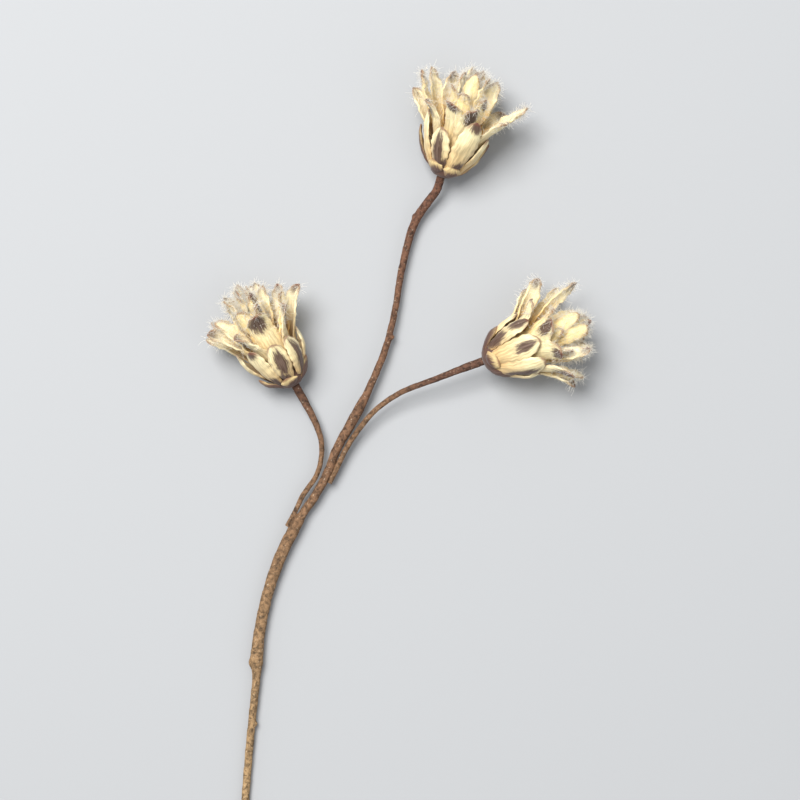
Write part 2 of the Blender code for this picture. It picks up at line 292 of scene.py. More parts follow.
def shoot(name, route, head, material, sizes):
    """A stem swept along its route, as a plain mesh that stands for the CAD node of its name."""
    curve = bpy.data.curves.new(name + "_route", "CURVE")
    curve.dimensions = "3D"
    places = rounded_route(into_head(route, head))
    spline = curve.splines.new("POLY")
    spline.points.add(len(places) - 1)
    for point, (x, y, z, radius) in zip(spline.points, places):
        point.co = (x * MM, y * MM, z * MM, 1.0)
        point.radius = radius * MM
    guide = bpy.data.objects.new(name + "_look", curve)
    bpy.context.scene.collection.objects.link(guide)
    return made_plain(guide, STEM_TREE, {**sizes, "Material": material})


def swell(piece, swellings):
    """Raises knuckles on a stem, each a smooth bump round a point."""
    for vertex in piece.data.vertices:
        for place, width, height in swellings:
            near = (vertex.co - Vector(place) * MM).length / (width * MM)
            if near < 3:
                vertex.co += vertex.normal * height * MM * math.exp(-near * near)
        vertex.co.z = max(vertex.co.z, 0.0)


STEM_TREE = tube_tree()
main_bark = bark("weathered_bark", "#a3865f", "#775840", "#603e30", 420)
main_stem = shoot("main_stem", MAIN_ROUTE, HEADS["top"], main_bark, {})
swell(main_stem, KNUCKLES)
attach(main_stem, "root")
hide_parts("main_stem")

# ============================================================ the side shoots
# Two thinner shoots that lie along the main stem under the tape, then bend away to their heads.

LEFT_ROUTE = (
    (-62.5, -40.0, 5.0, 1.3),
    (-58.0, -31.6, 5.6, 1.3),
    (-53.6, -22.6, 5.6, 1.4),
    (-46.4, -12.0, 5.9, 1.35),
    (-43.6, -2.0, 6.1, 1.35),
    (-43.7, 8.0, 6.1, 1.45),
    (-47.0, 18.0, 6.2, 1.75),
    (-51.4, 26.6, 6.6, 2.0),
)
RIGHT_ROUTE = (
    (-39.0, -16.0, 6.0, 1.3),
    (-35.4, -8.6, 6.2, 1.45),
    (-30.0, 2.6, 7.0, 1.45),
    (-24.0, 12.0, 7.8, 1.45),
    (-13.5, 24.5, 9.6, 1.45),
    (1.0, 34.5, 12.2, 1.5),
    (20.5, 42.0, 15.2, 1.65),
    (33.0, 46.9, 16.6, 1.95),
)
side_bark = bark("side_shoot_bark", "#765a41", "#7b5d43", "#5f4233", 85)
for name, route, head in (("left_branch", LEFT_ROUTE, "left"), ("right_branch", RIGHT_ROUTE, "right")):
    side = shoot(name, route, HEADS[head], side_bark, {"Tape edge": 0.12 * MM, "Tape pitch": 8.0 * MM})
    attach(side, "root")
    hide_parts(name)

# ============================================================ bracts: how each is formed
# A dried bract is a thin leathery boat, 20 to 50 mm long: cupped towards the flower's axis, with
# a crease down its inner face, rounded margins and a curled tip.

ALONG = 30  # rings of points along a bract
ROUND = 26  # points round each ring
BEND = 0.38  # how far its middle line's handles reach, as a share of base to tip
WIDEST = 0.5  # where it is widest, as a share of its length
# What a form says, in mm and degrees: "base" is radius and height where it grows; "angles" lean
# its middle line outwards at base and tip; "facing" and "twist" turn it about that line; "stray"
# varies the angles; "girth" scales its width; "thick", "curl" and "crease" shape its section;
# "wave" ruffles its margins; "claw" is its width at the base, as a share; "blunt" rounds its tip.


def head_matrix(head):
    """Takes a place in a head's own millimetres to the row frame: Z is its axis, Y faces down."""
    axis = axis_of(head)
    heading = math.radians(head["heading"])
    right = Vector((math.sin(heading), -math.cos(heading), 0.0))
    down = axis.cross(right)
    turn = Matrix((right, down, axis)).transposed().to_4x4()
    return Matrix.Translation(Vector(head["joint"]) * MM) @ turn @ Matrix.Scale(MM, 4)


def base_bearings(tips):
    """Evenly spaced bearings, as near as they can be to those of the tips."""
    step = 360 / len(tips)
    leads = [(tip[0] - tips[0][0]) % 360 - step * i for i, tip in enumerate(tips)]
    first = tips[0][0] + sum(leads) / len(leads)
    return [first + step * i for i in range(len(tips))]


def signed_power(value, power):
    return np.sign(value) * np.abs(value) ** power


# Where the purple-brown stain lies on a bract's back, as ovals: middle and half length along it
# (0 base, 1 tip), middle and half width across it (-1 to 1).
STAINS = {
    "clean": (),
    "tip": ((0.97, 0.17, 0.15, 0.80), (0.10, 0.20, 0.2, 0.6)),
    "brown_tip": ((0.93, 0.30, -0.1, 0.85),),
    "spot": ((0.10, 0.22, -0.3, 0.8), (0.55, 0.42, 0.0, 0.62)),
    "high_spot": ((0.72, 0.30, 0.0, 0.46),),
    "stripe": ((0.42, 0.66, 0.0, 0.60), (0.12, 0.22, 0.4, 0.8)),
    "left_spot": ((0.60, 0.48, -0.35, 0.60),),
    "right_spot": ((0.52, 0.44, 0.35, 0.52),),
    "left_edge": ((0.50, 0.70, -0.95, 0.45),),
    "right_edge": ((0.50, 0.70, 0.95, 0.45),),
    "two": ((0.22, 0.34, 0.1, 0.85), (0.86, 0.34, -0.1, 0.70)),
    "foot": ((0.15, 0.62, 0.2, 1.0),),
    "whole": ((0.35, 0.80, 0.0, 1.5),),
}


def bract(form, tip, base_bearing, seed):
    """One bract in its head's millimetres: points, faces and what its material reads."""
    bearing, distance, height, half, stain = tip
    chance = np.random.default_rng(seed)
    swing = (bearing - base_bearing + 180) % 360 - 180
    t = np.linspace(0, 1, ALONG) ** 0.92
    start, end = np.array(form["base"], float), np.array((distance, height), float)
    reach = np.linalg.norm(end - start) * BEND
    first, last = np.radians(np.array(form["angles"]) + chance.uniform(-1, 1, 2) * form["stray"])
    handles = start + reach * np.array((np.sin(first), np.cos(first))), end - reach * np.array(
        (np.sin(last), np.cos(last))
    )
    u = t[:, None]
    centre = (
        (1 - u) ** 3 * start
        + 3 * (1 - u) ** 2 * u * handles[0]
        + 3 * (1 - u) * u**2 * handles[1]
        + u**3 * end
    )
    slope = np.gradient(centre, axis=0)
    steps = np.linalg.norm(slope, axis=1)
    slope = slope / steps[:, None]
    run = np.concatenate(([0], np.cumsum(np.linalg.norm(np.diff(centre, axis=0), axis=1))))
    turn = np.radians(-base_bearing - swing * t)
    zero = np.zeros_like(turn)
    outwards = np.stack((np.cos(turn), np.sin(turn), zero), 1)
    across = np.stack((-np.sin(turn), np.cos(turn), zero), 1)
    axis = np.array((0.0, 0.0, 1.0))
    inwards = -slope[:, 1:] * outwards + slope[:, :1] * axis
    # A bract at the flower's side turns its hollow upwards, towards the light.
    facing = form["facing"] * math.cos(math.radians(bearing)) * np.clip(t * 1.6, 0, 1)
    twist = np.radians(chance.uniform(-1, 1) * form["twist"] * t + facing)
    across, inwards = (
        np.cos(twist)[:, None] * across + np.sin(twist)[:, None] * inwards,
        np.cos(twist)[:, None] * inwards - np.sin(twist)[:, None] * across,
    )
    # Half width along the bract: a narrow claw, its widest at the middle, then a rounded point.
    claw = form["claw"] + (1 - form["claw"]) * np.sin(np.pi / 2 * np.clip(t / WIDEST, 0, 1))
    point = np.clip(1 - np.clip((t - WIDEST) / (1 - WIDEST), 0, 1) ** form["blunt"], 0.004, 1) ** 0.5
    share = np.where(t < WIDEST, claw, point)
    wide = half * share * form["girth"]
    angle = 2 * np.pi * np.arange(ROUND) / ROUND
    s = signed_power(np.cos(angle), 0.80)[None, :]
    face = signed_power(np.sin(angle), 0.50)[None, :]
    thick = form["thick"] * (0.30 + 0.70 * np.clip(share * 1.2, 0, 1))[:, None] / 2
    curl = (form["curl"] * (1.1 - 0.5 * t))[:, None]
    bow = curl * s
    sideways = wide[:, None] / curl * np.sin(bow) + face * thick * np.sin(bow)
    lift = wide[:, None] / curl * (1 - np.cos(bow)) - face * thick * np.cos(bow)
    crease = np.exp(-((s / 0.16) ** 2)) * np.sin(np.pi * np.clip(t * 1.05, 0, 1))[:, None]
    lift = lift - crease * form["crease"] * np.where(face < 0, 1.0, 0.5)
    # The margins wave a little, more towards the tip.
    phase = chance.uniform(0, 2 * np.pi, 2)
    wave = np.sin(run * 0.9 + phase[0]) + 0.6 * np.sin(run * 1.9 + phase[1])
    lift = lift + form["wave"] * (wave * t)[:, None] * np.abs(s) ** 3
    sideways = sideways * (1 + 0.05 * np.sin(run * 1.3 + phase[1]))[:, None]
    points = (
        (centre[:, :1] * outwards + centre[:, 1:] * axis)[:, None, :]
        + sideways[:, :, None] * across[:, None, :]
        + lift[:, :, None] * inwards[:, None, :]
    )
    oval = np.full((ALONG, ROUND), -1.0)
    for middle, length, offset, width in STAINS[stain]:
        reached = np.hypot((t[:, None] - middle) / length, (s - offset) / width)
        oval = np.maximum(oval, 1 - reached)
    spread = np.ones((ALONG, ROUND))
    margin = np.minimum(wide[:, None] * (1 - np.abs(s)), (run[-1] - run)[:, None] * spread)
    data = {
        "stain": oval,
        "margin": margin,
        "back": (face + 1) / 2 * spread,
        "reach": t[:, None] * spread,
        "tone": chance.uniform(0, 1) * spread,
        "sideways": s * half * spread,
        "lengthways": run[:, None] * spread,
    }
    ring = np.arange(ROUND)
    nxt = (ring + 1) % ROUND
    faces = [
        (a, b, b + ROUND, a + ROUND)
        for loop in range(0, (ALONG - 1) * ROUND, ROUND)
        for a, b in zip((ring + loop).tolist(), (nxt + loop).tolist())
    ]
    last_loop = (ALONG - 1) * ROUND
    faces.append(tuple(reversed(range(ROUND))))
    faces.append(tuple(range(last_loop, last_loop + ROUND)))
    return points.reshape(-1, 3), faces, {k: v.reshape(-1) for k, v in data.items()}


def roughened(points, size, depth, seed):
    """Points pushed about by smooth noise of that size, in mm, as drying does."""
    shift = Vector((seed * 7.3, seed * 3.1, seed * 5.7))
    return points + depth * np.array(
        [noise.noise_vector(Vector(p) / size + shift) for p in points.tolist()]
    )


RESTING = 0.2 * MM  # a bract that reaches the table lies flat on it


def assembled(name, parts, head, material):
    """One mesh object from several parts in a head's millimetres."""
    points, faces, data, first = [], [], {}, 0
    for part_points, part_faces, part_data in parts:
        points.append(part_points)
        faces += [tuple(i + first for i in face) for face in part_faces]
        for key, values in part_data.items():
            data.setdefault(key, []).append(values)
        first += len(part_points)
    matrix = np.array(head_matrix(head))
    placed = np.concatenate(points) @ matrix[:3, :3].T + matrix[:3, 3]
    placed[:, 2] = np.maximum(placed[:, 2], RESTING)
    mesh = bpy.data.meshes.new(name)
    mesh.from_pydata(placed.tolist(), [], faces)
    for key, values in data.items():
        attribute = mesh.attributes.new(key, "FLOAT", "POINT")
        attribute.data.foreach_set("value", np.concatenate(values).astype(np.float32))
    mesh.shade_smooth()
    mesh.materials.append(material)
    piece = bpy.data.objects.new(name, mesh)
    bpy.context.scene.collection.objects.link(piece)
    return piece


# Dried protea bract: leathery and matt with a faint waxy sheen.  Cream inside, olive-cream on the
# back, darkened to gold deep in the flower as painted shade; feathered purple-brown stains on the
# back and at the tip, streaked with painted grey sheen; and a broken burnt rim round the tip.  Its
# veins run lengthways, about 0.6 mm apart.
def dried_bract(name, inside, back, deep, stain_colour, rim_width):
    material = bpy.data.materials.new(name)
    material.use_nodes = True
    tree = material.node_tree
    shader = tree.nodes["Principled BSDF"]
    shader.inputs["Roughness"].default_value = 0.62
    shader.inputs["Specular IOR Level"].default_value = 0.35
    shader.inputs["Sheen Weight"].default_value = 0.15
    fields = {
        key: add(tree, "ShaderNodeAttribute", attribute_name=key).outputs["Fac"]
        for key in ("stain", "margin", "back", "reach", "tone", "sideways", "lengthways")
    }
    place = add(tree, "ShaderNodeTexCoord").outputs["Object"]
    # Veins: noise drawn out along the bract.
    narrow = add(tree, "ShaderNodeMath", {0: fields["sideways"], 1: 1.7}, operation="MULTIPLY").outputs[0]
    long = add(tree, "ShaderNodeMath", {0: fields["lengthways"], 1: 0.10}, operation="MULTIPLY").outputs[0]
    shift = add(tree, "ShaderNodeMath", {0: fields["tone"], 1: 37.0}, operation="MULTIPLY").outputs[0]
    drawn = add(tree, "ShaderNodeCombineXYZ", {0: narrow, 1: long, 2: shift}).outputs[0]
    veins = add(
        tree, "ShaderNodeTexNoise", {"Vector": drawn, "Scale": 1.0, "Detail": 4.0, "Roughness": 0.6}
    ).outputs[0]
    mottle = add(
        tree, "ShaderNodeTexNoise",
        {"Vector": place, "Scale": 1 / (6.0 * MM), "Detail": 5.0, "Roughness": 0.6},
    ).outputs[0]
    fine = add(
        tree, "ShaderNodeTexNoise",
        {"Vector": place, "Scale": 1 / (1.2 * MM), "Detail": 4.0, "Roughness": 0.7},
    ).outputs[0]
    base = add(
        tree, "ShaderNodeMix",
        {"Factor": fields["back"], 6: linear(inside), 7: linear(back)}, data_type="RGBA",
    ).outputs[2]
    # Painted shade: towards its foot, deep in the flower, a bract darkens to the deep colour.
    depth = add(
        tree, "ShaderNodeMapRange", {"Value": fields["reach"], 1: 0.15, 2: 0.80, 3: 0.95, 4: 0.0}
    ).outputs[0]
    # The painted shade is strong on the inner face and faint on the back.
    hollow = add(
        tree, "ShaderNodeMapRange", {"Value": fields["back"], 1: 0.0, 2: 1.0, 3: 1.0, 4: 0.6}
    ).outputs[0]
    painted_shade = add(tree, "ShaderNodeMath", {0: depth, 1: hollow}, operation="MULTIPLY").outputs[0]
    with_painted_shade = add(
        tree, "ShaderNodeMix", {"Factor": painted_shade, 6: base, 7: linear(deep)}, data_type="RGBA"
    ).outputs[2]
    streak = add(tree, "ShaderNodeMapRange", {"Value": veins, 1: 0.32, 2: 0.62, 3: 0.60, 4: 1.06}).outputs[0]
    veined = add(
        tree, "ShaderNodeMix", {"Factor": 1.0, 6: with_painted_shade, 7: streak}, data_type="RGBA", blend_type="MULTIPLY"
    ).outputs[2]
    aged = add(tree, "ShaderNodeMapRange", {"Value": mottle, 1: 0.35, 2: 0.75, 3: 0.0, 4: 0.22}).outputs[0]
    mottled = add(
        tree, "ShaderNodeMix", {"Factor": aged, 6: veined, 7: linear(deep)}, data_type="RGBA"
    ).outputs[2]
    # The stain's edge is feathered along the veins.
    feather = add(
        tree, "ShaderNodeMath", {0: veins, 1: 1.5, 2: fields["stain"]}, operation="MULTIPLY_ADD"
    ).outputs[0]
    ragged = add(tree, "ShaderNodeMath", {0: fine, 1: 0.35, 2: feather}, operation="MULTIPLY_ADD").outputs[0]
    soaked = add(
        tree, "ShaderNodeMapRange",
        {"Value": ragged, 1: 0.88, 2: 1.30, 3: 0.0, 4: 0.95}, interpolation_type="SMOOTHSTEP",
    ).outputs[0]
    outside = add(
        tree, "ShaderNodeMapRange", {"Value": fields["back"], 1: 0.35, 2: 0.65, 3: 0.0, 4: 1.0}
    ).outputs[0]
    # A stain shows through to the inner face only at the tip.
    tipward = add(
        tree, "ShaderNodeMapRange", {"Value": fields["reach"], 1: 0.80, 2: 0.92, 3: 0.0, 4: 0.9}
    ).outputs[0]
    seen = add(tree, "ShaderNodeMath", {0: outside, 1: tipward}, operation="MAXIMUM").outputs[0]
    stained = add(tree, "ShaderNodeMath", {0: soaked, 1: seen}, operation="MULTIPLY").outputs[0]
    # Painted sheen: grey streaks along the veins lighten the purple-brown stain.
    painted_sheen = add(tree, "ShaderNodeMapRange", {"Value": veins, 1: 0.42, 2: 0.66, 3: 0.0, 4: 0.45}).outputs[0]
    stain_and_sheen = add(
        tree, "ShaderNodeMix",
        {"Factor": painted_sheen, 6: linear(stain_colour), 7: linear("#7d655c")}, data_type="RGBA",
    ).outputs[2]
    marked = add(
        tree, "ShaderNodeMix", {"Factor": stained, 6: mottled, 7: stain_and_sheen}, data_type="RGBA"
    ).outputs[2]
    # The burnt rim: broken, and only round the tip.
    nibble = add(
        tree, "ShaderNodeMath", {0: mottle, 1: -3.0, 2: fields["margin"]}, operation="MULTIPLY_ADD"
    ).outputs[0]
    rim = add(
        tree, "ShaderNodeMapRange", {"Value": nibble, 1: rim_width - 1.5, 2: rim_width - 0.5, 3: 0.85, 4: 0.0}
    ).outputs[0]
    near_tip = add(
        tree, "ShaderNodeMapRange", {"Value": fields["reach"], 1: 0.80, 2: 0.95, 3: 0.0, 4: 0.9}
    ).outputs[0]
    burnt = add(tree, "ShaderNodeMath", {0: rim, 1: near_tip}, operation="MULTIPLY").outputs[0]
    rimmed = add(
        tree, "ShaderNodeMix", {"Factor": burnt, 6: marked, 7: linear("#6a3a28")}, data_type="RGBA"
    ).outputs[2]
    tree.links.new(rimmed, shader.inputs["Base Color"])
    height = add(tree, "ShaderNodeMath", {0: fine, 1: 0.35, 2: veins}, operation="MULTIPLY_ADD").outputs[0]
    bump = add(tree, "ShaderNodeBump", {"Height": height, "Strength": 0.7, "Distance": 0.5 * MM}).outputs[0]
    tree.links.new(bump, shader.inputs["Normal"])
    return material


# ============================================================ the receptacle and its sepals
# The woody cup that carries the flower, with five short scales that hug it and hook outwards.
# Purple-brown and slightly waxy; the scales are cream above their brown feet.

# The cup's outline: radius and height along the head's axis, in mm.
CUP = (
    (2.4, -0.2), (4.6, 0.3), (6.6, 1.5), (8.0, 3.4), (8.7, 5.8),
    (8.3, 8.0), (6.8, 9.4), (5.6, 12.0), (5.2, 16.0),
)
CUP_SIDES = 40
SEPAL = {
    "facing": 0, "stray": 4, "girth": 1.05, "base": (6.4, 2.0), "angles": (58, 12),
    "thick": 1.5, "curl": 0.75, "crease": 0.15,
    "twist": 8, "wave": 0.15, "claw": 0.70, "blunt": 1.7,
}
SEPAL_TIPS = {
    "top": (
        (2, 18.8, 25.5, 4.2, "two"), (62, 11.6, 9.0, 5.2, "foot"), (118, 11.8, 9.6, 5.0, "foot"),
        (180, 20.3, 23.6, 3.4, "whole"), (260, 13.0, 12.0, 5.0, "whole"),
    ),
    "left": (
        (14, 14.0, 12.6, 4.0, "whole"), (100, 11.4, 7.8, 5.0, "foot"), (172, 16.0, 12.4, 4.0, "whole"),
        (238, 14.0, 12.0, 4.6, "whole"), (306, 14.0, 12.0, 4.6, "whole"),
    ),
    "right": (
        (8, 13.2, 14.0, 4.6, "whole"), (74, 11.6, 8.4, 5.0, "foot"), (172, 15.2, 14.0, 4.2, "whole"),
        (240, 13.0, 12.0, 4.6, "whole"), (306, 13.0, 12.0, 4.6, "whole"),
    ),
}


def turned(outline, sides, fill):
    """A closed solid turned about the head's axis, in mm, with the same value in each field."""
    angle = 2 * np.pi * np.arange(sides) / sides
    points = np.concatenate(
        [np.stack((r * np.cos(angle), r * np.sin(angle), np.full(sides, h)), 1) for r, h in outline]
    )
    faces = [tuple(reversed(range(sides))), tuple(range(len(points) - sides, len(points)))]
    for loop in range(0, (len(outline) - 1) * sides, sides):
        for i in range(sides):
            a, b = loop + i, loop + (i + 1) % sides
            faces.append((a, b, b + sides, a + sides))
    return points, faces, {key: np.full(len(points), value) for key, value in fill.items()}


# Its third colour darkens the cup and the scales' feet as painted shade, and tints the mottling.
sepal_look = dried_bract("receptacle_scale", "#e2c98f", "#dcc48c", "#94623a", "#43211a", 0.9)
# The cup reads as partway along a scale, so it takes part of the painted shade.
CUP_FIELDS = {
    "stain": 0.62, "margin": 4.0, "back": 1.0, "reach": 0.4, "tone": 0.3, "sideways": 0.0, "lengthways": 0.0,
}
for h, (side_name, head) in enumerate(HEADS.items()):
    tips = SEPAL_TIPS[side_name]
    parts = [turned(CUP, CUP_SIDES, CUP_FIELDS)]
    for i, (tip, base) in enumerate(zip(tips, base_bearings(tips))):
        parts.append(bract(SEPAL, tip, base, 100 * h + i))
    parts = [(roughened(p, 5.0, 0.5, h), f, d) for p, f, d in parts]
    calyx = assembled(f"{side_name}_receptacle", parts, head, sepal_look)
    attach(calyx, "root")
    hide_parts(f"{side_name}_calyx")

# ============================================================ the outer bracts
# Two rings of bracts, each grown on the receptacle's rim: seven short ones that hug the cup, and
# eight longer boats that turn outwards at the mouth.

RINGS = {
    "outer": {
        "facing": 12, "stray": 5, "girth": 1.30, "base": (8.7, 5.0), "angles": (38, 6),
        "thick": 1.3, "curl": 0.85, "crease": 0.25,
        "twist": 10, "wave": 0.2, "claw": 0.55, "blunt": 2.6,
    },
    "flared": {
        "facing": 34, "stray": 9, "girth": 1.26, "base": (7.3, 8.7), "angles": (28, 56),
        "thick": 1.7, "curl": 1.1, "crease": 0.35,
        "twist": 24, "wave": 0.4, "claw": 0.5, "blunt": 4.2,
    },
}
TIPS = {
    "top": {
        "outer": (
            (20, 19.0, 29.0, 4.6, "clean"), (64, 20.0, 37.0, 5.4, "tip"), (116, 18.0, 28.0, 5.0, "stripe"),
            (164, 19.6, 34.0, 5.0, "left_edge"), (212, 20.0, 31.0, 4.9, "spot"),
            (264, 17.5, 29.0, 4.9, "stripe"), (318, 20.0, 31.0, 4.9, "spot"),
        ),
        "flared": (
            (28, 28.5, 41.5, 5.0, "right_edge"), (74, 22.0, 43.0, 5.4, "brown_tip"),
            (112, 23.0, 42.5, 5.0, "tip"), (149, 25.5, 38.5, 4.8, "brown_tip"),
            (186, 31.0, 40.5, 4.6, "stripe"), (236, 26.0, 41.5, 4.8, "tip"),
            (280, 24.0, 41.5, 4.8, "spot"), (326, 27.0, 41.5, 4.8, "tip"),
        ),
        "inner": (
            (356, 32.5, 51.0, 3.8), (58, 18.0, 50.0, 4.0), (102, 16.0, 49.0, 4.0), (132, 17.0, 51.0, 4.0),
            (170, 30.0, 52.0, 3.6), (205, 28.0, 53.0, 3.8), (256, 20.0, 50.0, 4.2), (312, 21.0, 52.0, 4.2),
        ),
        "upper": (
            (352, 12.0, 59.0, 4.2), (40, 10.0, 60.0, 4.2), (96, 9.0, 60.0, 4.4), (132, 11.0, 59.0, 4.0),
            (172, 12.5, 57.0, 4.2), (232, 12.0, 57.0, 4.0), (300, 12.0, 58.0, 4.0),
        ),
        "centre": (
            (18, 4.0, 61.5, 3.4), (90, 4.0, 61.0, 3.4), (162, 4.0, 62.5, 3.4), (234, 4.0, 61.0, 3.4),
            (306, 4.0, 62.0, 3.4),
        ),
    },
    "left": {
        "outer": (
            (20, 18.0, 30.0, 4.4, "clean"), (58, 18.8, 30.0, 4.4, "stripe"), (88, 17.5, 30.0, 4.6, "spot"),
            (132, 18.4, 31.5, 5.2, "tip"), (166, 20.4, 32.0, 4.6, "stripe"),
            (232, 20.0, 31.0, 4.9, "spot"), (300, 19.0, 31.0, 4.9, "spot"),
        ),
        "flared": (
            (3, 30.0, 48.5, 4.2, "tip"),
            (42, 25.0, 45.0, 4.6, "brown_tip"), (90, 19.0, 48.0, 5.8, "brown_tip"),
            (134, 22.5, 42.0, 5.4, "brown_tip"), (163, 29.0, 50.0, 4.4, "brown_tip"),
            (192, 31.0, 45.0, 4.4, "stripe"), (240, 25.0, 43.0, 4.8, "spot"), (306, 25.0, 43.0, 4.8, "tip"),
        ),
        "inner": (
            (22, 21.5, 51.0, 4.0), (72, 15.0, 53.0, 4.0), (118, 15.0, 54.0, 4.2), (158, 22.0, 54.0, 4.0),
            (200, 25.0, 51.0, 4.0), (240, 19.0, 54.0, 4.0), (290, 16.0, 57.0, 4.0), (338, 21.0, 52.5, 4.0),
        ),
        "upper": (
            (10, 12.0, 58.0, 4.0), (66, 9.0, 59.0, 4.0), (118, 8.5, 60.0, 4.0), (166, 11.5, 61.0, 4.0),
            (216, 12.0, 60.0, 4.0), (264, 11.0, 61.0, 4.0), (316, 12.0, 59.0, 4.0),
        ),
        "centre": (
            (54, 4.0, 61.0, 3.3), (126, 4.0, 63.0, 3.3), (198, 4.0, 62.0, 3.3), (270, 4.0, 63.5, 3.3),
            (342, 4.0, 61.0, 3.3),
        ),
    },
    "right": {
        "outer": (
            (14, 17.5, 27.0, 4.4, "clean"),
            (52, 20.0, 32.5, 5.4, "right_spot"), (90, 18.0, 33.5, 5.6, "high_spot"),
            (128, 20.0, 31.0, 4.4, "two"), (168, 18.0, 26.5, 4.6, "clean"),
            (218, 19.0, 29.0, 4.9, "spot"), (292, 18.0, 29.0, 4.9, "stripe"),
        ),
        "flared": (
            (2, 31.0, 42.0, 4.6, "tip"), (26, 28.5, 44.0, 4.8, "brown_tip"), (63, 23.5, 41.5, 5.4, "tip"),
            (106, 21.5, 42.0, 5.4, "brown_tip"), (146, 27.0, 36.0, 5.2, "left_spot"),
            (186, 29.5, 35.5, 4.8, "stripe"), (240, 24.5, 39.5, 4.8, "spot"), (304, 24.5, 40.0, 4.8, "tip"),
        ),
        "inner": (
            (348, 27.5, 49.0, 4.0), (50, 18.0, 48.5, 3.8), (92, 14.5, 46.5, 3.2), (136, 18.5, 46.5, 4.0),
            (180, 32.5, 44.0, 4.0), (212, 28.0, 52.5, 4.0), (266, 18.0, 50.0, 4.0), (318, 22.0, 52.0, 4.0),
        ),
        "upper": (
            (352, 13.0, 59.0, 3.8), (36, 17.0, 57.5, 3.8), (76, 9.0, 60.5, 4.8), (116, 13.5, 58.0, 3.8),
            (166, 24.0, 62.0, 3.4), (236, 12.0, 58.0, 4.0), (300, 12.0, 58.0, 4.0),
        ),
        "centre": (
            (24, 4.0, 60.0, 3.4), (96, 4.5, 63.5, 3.4), (168, 4.0, 61.0, 3.4), (240, 4.0, 62.0, 3.4),
            (312, 4.0, 61.0, 3.4),
        ),
    },
}

# Its third colour is the gold of the painted shade deep in the flower, and of the mottling.
bract_look = dried_bract("dried_bract", "#fff3cb", "#f5e7b6", "#b98232", "#38190f", 0.7)
for h, (side_name, head) in enumerate(HEADS.items()):
    for r, (ring, form) in enumerate(RINGS.items()):
        tips = TIPS[side_name][ring]
        for i, (tip, base) in enumerate(zip(tips, base_bearings(tips))):
            seed = 1000 + 100 * h + 20 * r + i
            points, faces, data = bract(form, tip, base, seed)
            part = (roughened(points, 7.0, 0.7, seed), faces, data)
            one = assembled(f"{side_name}_{ring}_{i + 1}", [part], head, bract_look)
            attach(one, "root")
            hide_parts(f"{side_name}_{ring}_bract_{i + 1}")

# ============================================================ the inner petals
# Three whorls of softer, paler petals round the crowded middle of the flower, each whorl grown
# together at its foot.  They stand up in the middle and lean out at the edge.

WHORLS = {
    "inner": {
        "facing": 42, "stray": 14, "girth": 1.25, "base": (3.9, 13.4), "angles": (34, 34),
        "thick": 1.7, "curl": 1.0, "crease": 0.3,
        "twist": 40, "wave": 0.6, "claw": 0.5, "blunt": 3.4, "hub": ((5.2, 12.3), (5.0, 17.0)),
    },
    "upper": {
        "facing": 48, "stray": 16, "girth": 1.2, "base": (3.2, 18.4), "angles": (24, 12),
        "thick": 1.3, "curl": 1.1, "crease": 0.3,
        "twist": 55, "wave": 0.7, "claw": 0.5, "blunt": 4.0, "hub": ((4.4, 17.0), (4.0, 22.3)),
    },
    "centre": {
        "facing": 48, "stray": 18, "girth": 1.1, "base": (2.2, 23.4), "angles": (14, -10),
        "thick": 1.1, "curl": 1.2, "crease": 0.2,
        "twist": 55, "wave": 0.3, "claw": 0.5, "blunt": 4.0, "hub": ((3.8, 22.0), (2.6, 46.0)),
    },
}
# Its third colour is the gold of the painted shade deep in the flower, and of the mottling.
petal_look = dried_bract("dried_petal", "#fff3c8", "#fbe7ac", "#dca030", "#3a1d14", 0.8)
# A hub reads as the foot of its petals, so it takes the full painted shade.
HUB_FIELDS = {
    "stain": -1.0, "margin": 4.0, "back": 0.0, "reach": 0.0, "tone": 0.3, "sideways": 0.0, "lengthways": 0.0,
}
HUB_SIDES = 24
for h, (side_name, head) in enumerate(HEADS.items()):
    for r, (ring, form) in enumerate(WHORLS.items()):
        tips = [(*tip, "tip" if i % 3 == 1 else "clean") for i, tip in enumerate(TIPS[side_name][ring])]
        parts = [turned(form["hub"], HUB_SIDES, HUB_FIELDS)]
        for i, (tip, base) in enumerate(zip(tips, base_bearings(tips))):
            seed = 2000 + 100 * h + 20 * r + i
            points, faces, data = bract(form, tip, base, seed)
            parts.append((roughened(points, 6.0, 0.9, seed), faces, data))
        whorl = assembled(f"{side_name}_{ring}", parts, head, petal_look)
        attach(whorl, "root")
        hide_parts(f"{side_name}_{ring}_petals")

# ============================================================ the hairs
# Fine silky hairs, 2 to 4 mm long, that stand along the petals' margins and tips and fill the
# mouth of the flower with a pale fuzz.  Real ones are finer than 0.05 mm; these are drawn at
# three times that so that they show.

